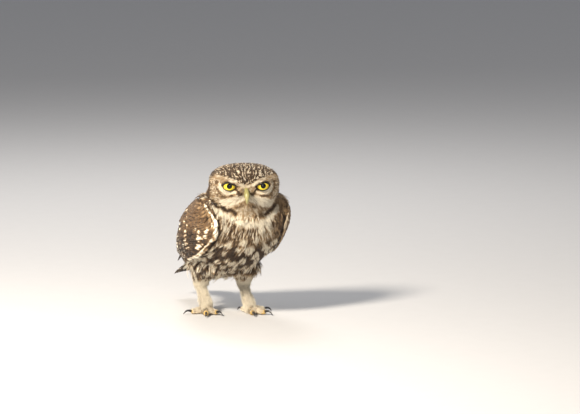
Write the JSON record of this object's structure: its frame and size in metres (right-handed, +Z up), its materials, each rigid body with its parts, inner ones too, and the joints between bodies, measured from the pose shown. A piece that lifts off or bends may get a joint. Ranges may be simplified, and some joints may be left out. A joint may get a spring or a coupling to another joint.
{
  "type": "little owl",
  "caption": "Life-size still model of a small brown owl with white spots and yellow eyes, standing on two feathered legs, its head turned over its right breast.",
  "frame": {"origin": "on the floor below the middle of the owl's length and width", "axes": "+Z up, the body faces -Y, the tail points to +Y and the owl's left side is +X"},
  "size_m": [0.098, 0.1741, 0.1393],
  "materials": {
    "plumage": "soft brown body feathers with pale spots and streaks",
    "pale_plumage": "soft off-white feathers on the throat and legs",
    "wing_plumage": "smooth dark brown flight and tail feathers with white spots and bars",
    "eye": "wet and glossy, yellow iris round a black pupil",
    "bill": "satin greenish-yellow horn",
    "claw": "glossy black-grey horn"
  },
  "bodies": {
    "root": {"head": "plumage", "neck": "pale_plumage", "torso": "plumage", "tail": "wing_plumage", "eye_right": "eye", "eye_left": "eye", "bill_upper": "bill", "bill_lower": "bill", "wing_right": "wing_plumage", "wing_left": "wing_plumage", "thigh_right": "pale_plumage", "thigh_left": "pale_plumage", "tarsus_right": "pale_plumage", "tarsus_left": "pale_plumage", "middle_toe_right": "pale_plumage", "middle_claw_right": "claw", "middle_toe_left": "pale_plumage", "middle_claw_left": "claw", "inner_toe_right": "pale_plumage", "inner_claw_right": "claw", "inner_toe_left": "pale_plumage", "inner_claw_left": "claw", "outer_toe_right": "pale_plumage", "outer_claw_right": "claw", "outer_toe_left": "pale_plumage", "outer_claw_left": "claw", "hind_toe_right": "pale_plumage", "hind_claw_right": "claw", "hind_toe_left": "pale_plumage", "hind_claw_left": "claw"}
  },
  "joints": []
}
